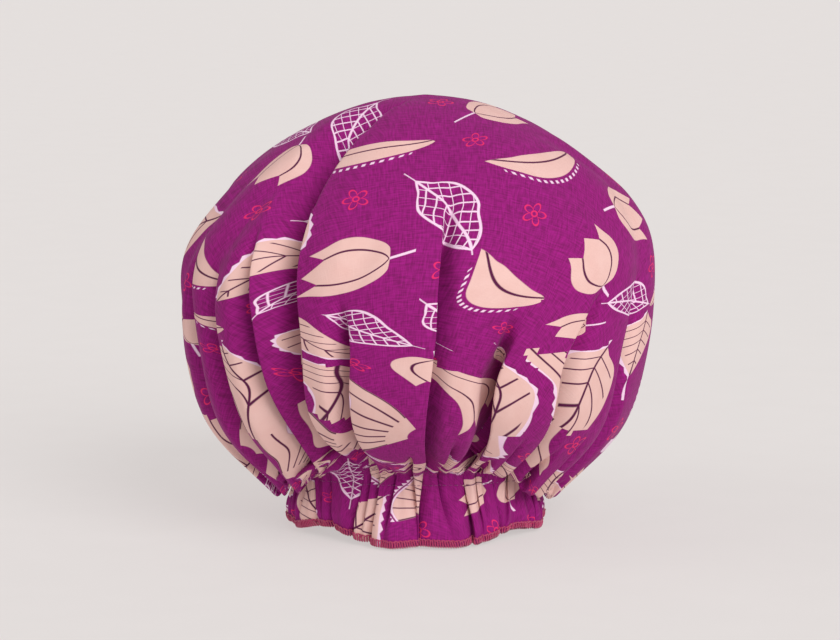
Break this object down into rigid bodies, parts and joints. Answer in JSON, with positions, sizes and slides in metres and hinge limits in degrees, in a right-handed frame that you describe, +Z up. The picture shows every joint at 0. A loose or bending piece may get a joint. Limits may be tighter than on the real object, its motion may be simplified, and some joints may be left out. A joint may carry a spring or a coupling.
{
  "type": "shower cap",
  "caption": "Round gathered cotton shower cap with a waterproof film lining, an elastic in a sewn casing and a short overlocked ruffle, standing on its hem.",
  "frame": {"origin": "middle of the hem, on the surface that the cap stands on", "axes": "+Z up through the top of the crown, -Y towards the front, +X to the viewer's right"},
  "size_m": [0.2355, 0.2357, 0.217],
  "materials": {
    "printed_cotton": "plain woven cotton, purple ground with a blush, white and crimson print",
    "lining_film": "thin milky waterproof film, satin",
    "overlock_thread": "spun polyester thread, crimson, overlocked",
    "casing_tape": "woven cotton tape, purple",
    "seam_thread": "spun polyester thread, purple, lockstitched",
    "elastic_knit": "knitted elastic, off white",
    "join_thread": "spun polyester thread, white, zigzag"
  },
  "bodies": {
    "root": {"crown_cloth": "printed_cotton", "waterproof_lining": "lining_film", "ruffle": "printed_cotton", "hem_overlock": "overlock_thread", "casing_tape": "casing_tape", "casing_seam_upper": "seam_thread", "casing_seam_lower": "seam_thread", "elastic_band": "elastic_knit", "elastic_join": "join_thread"}
  },
  "joints": []
}
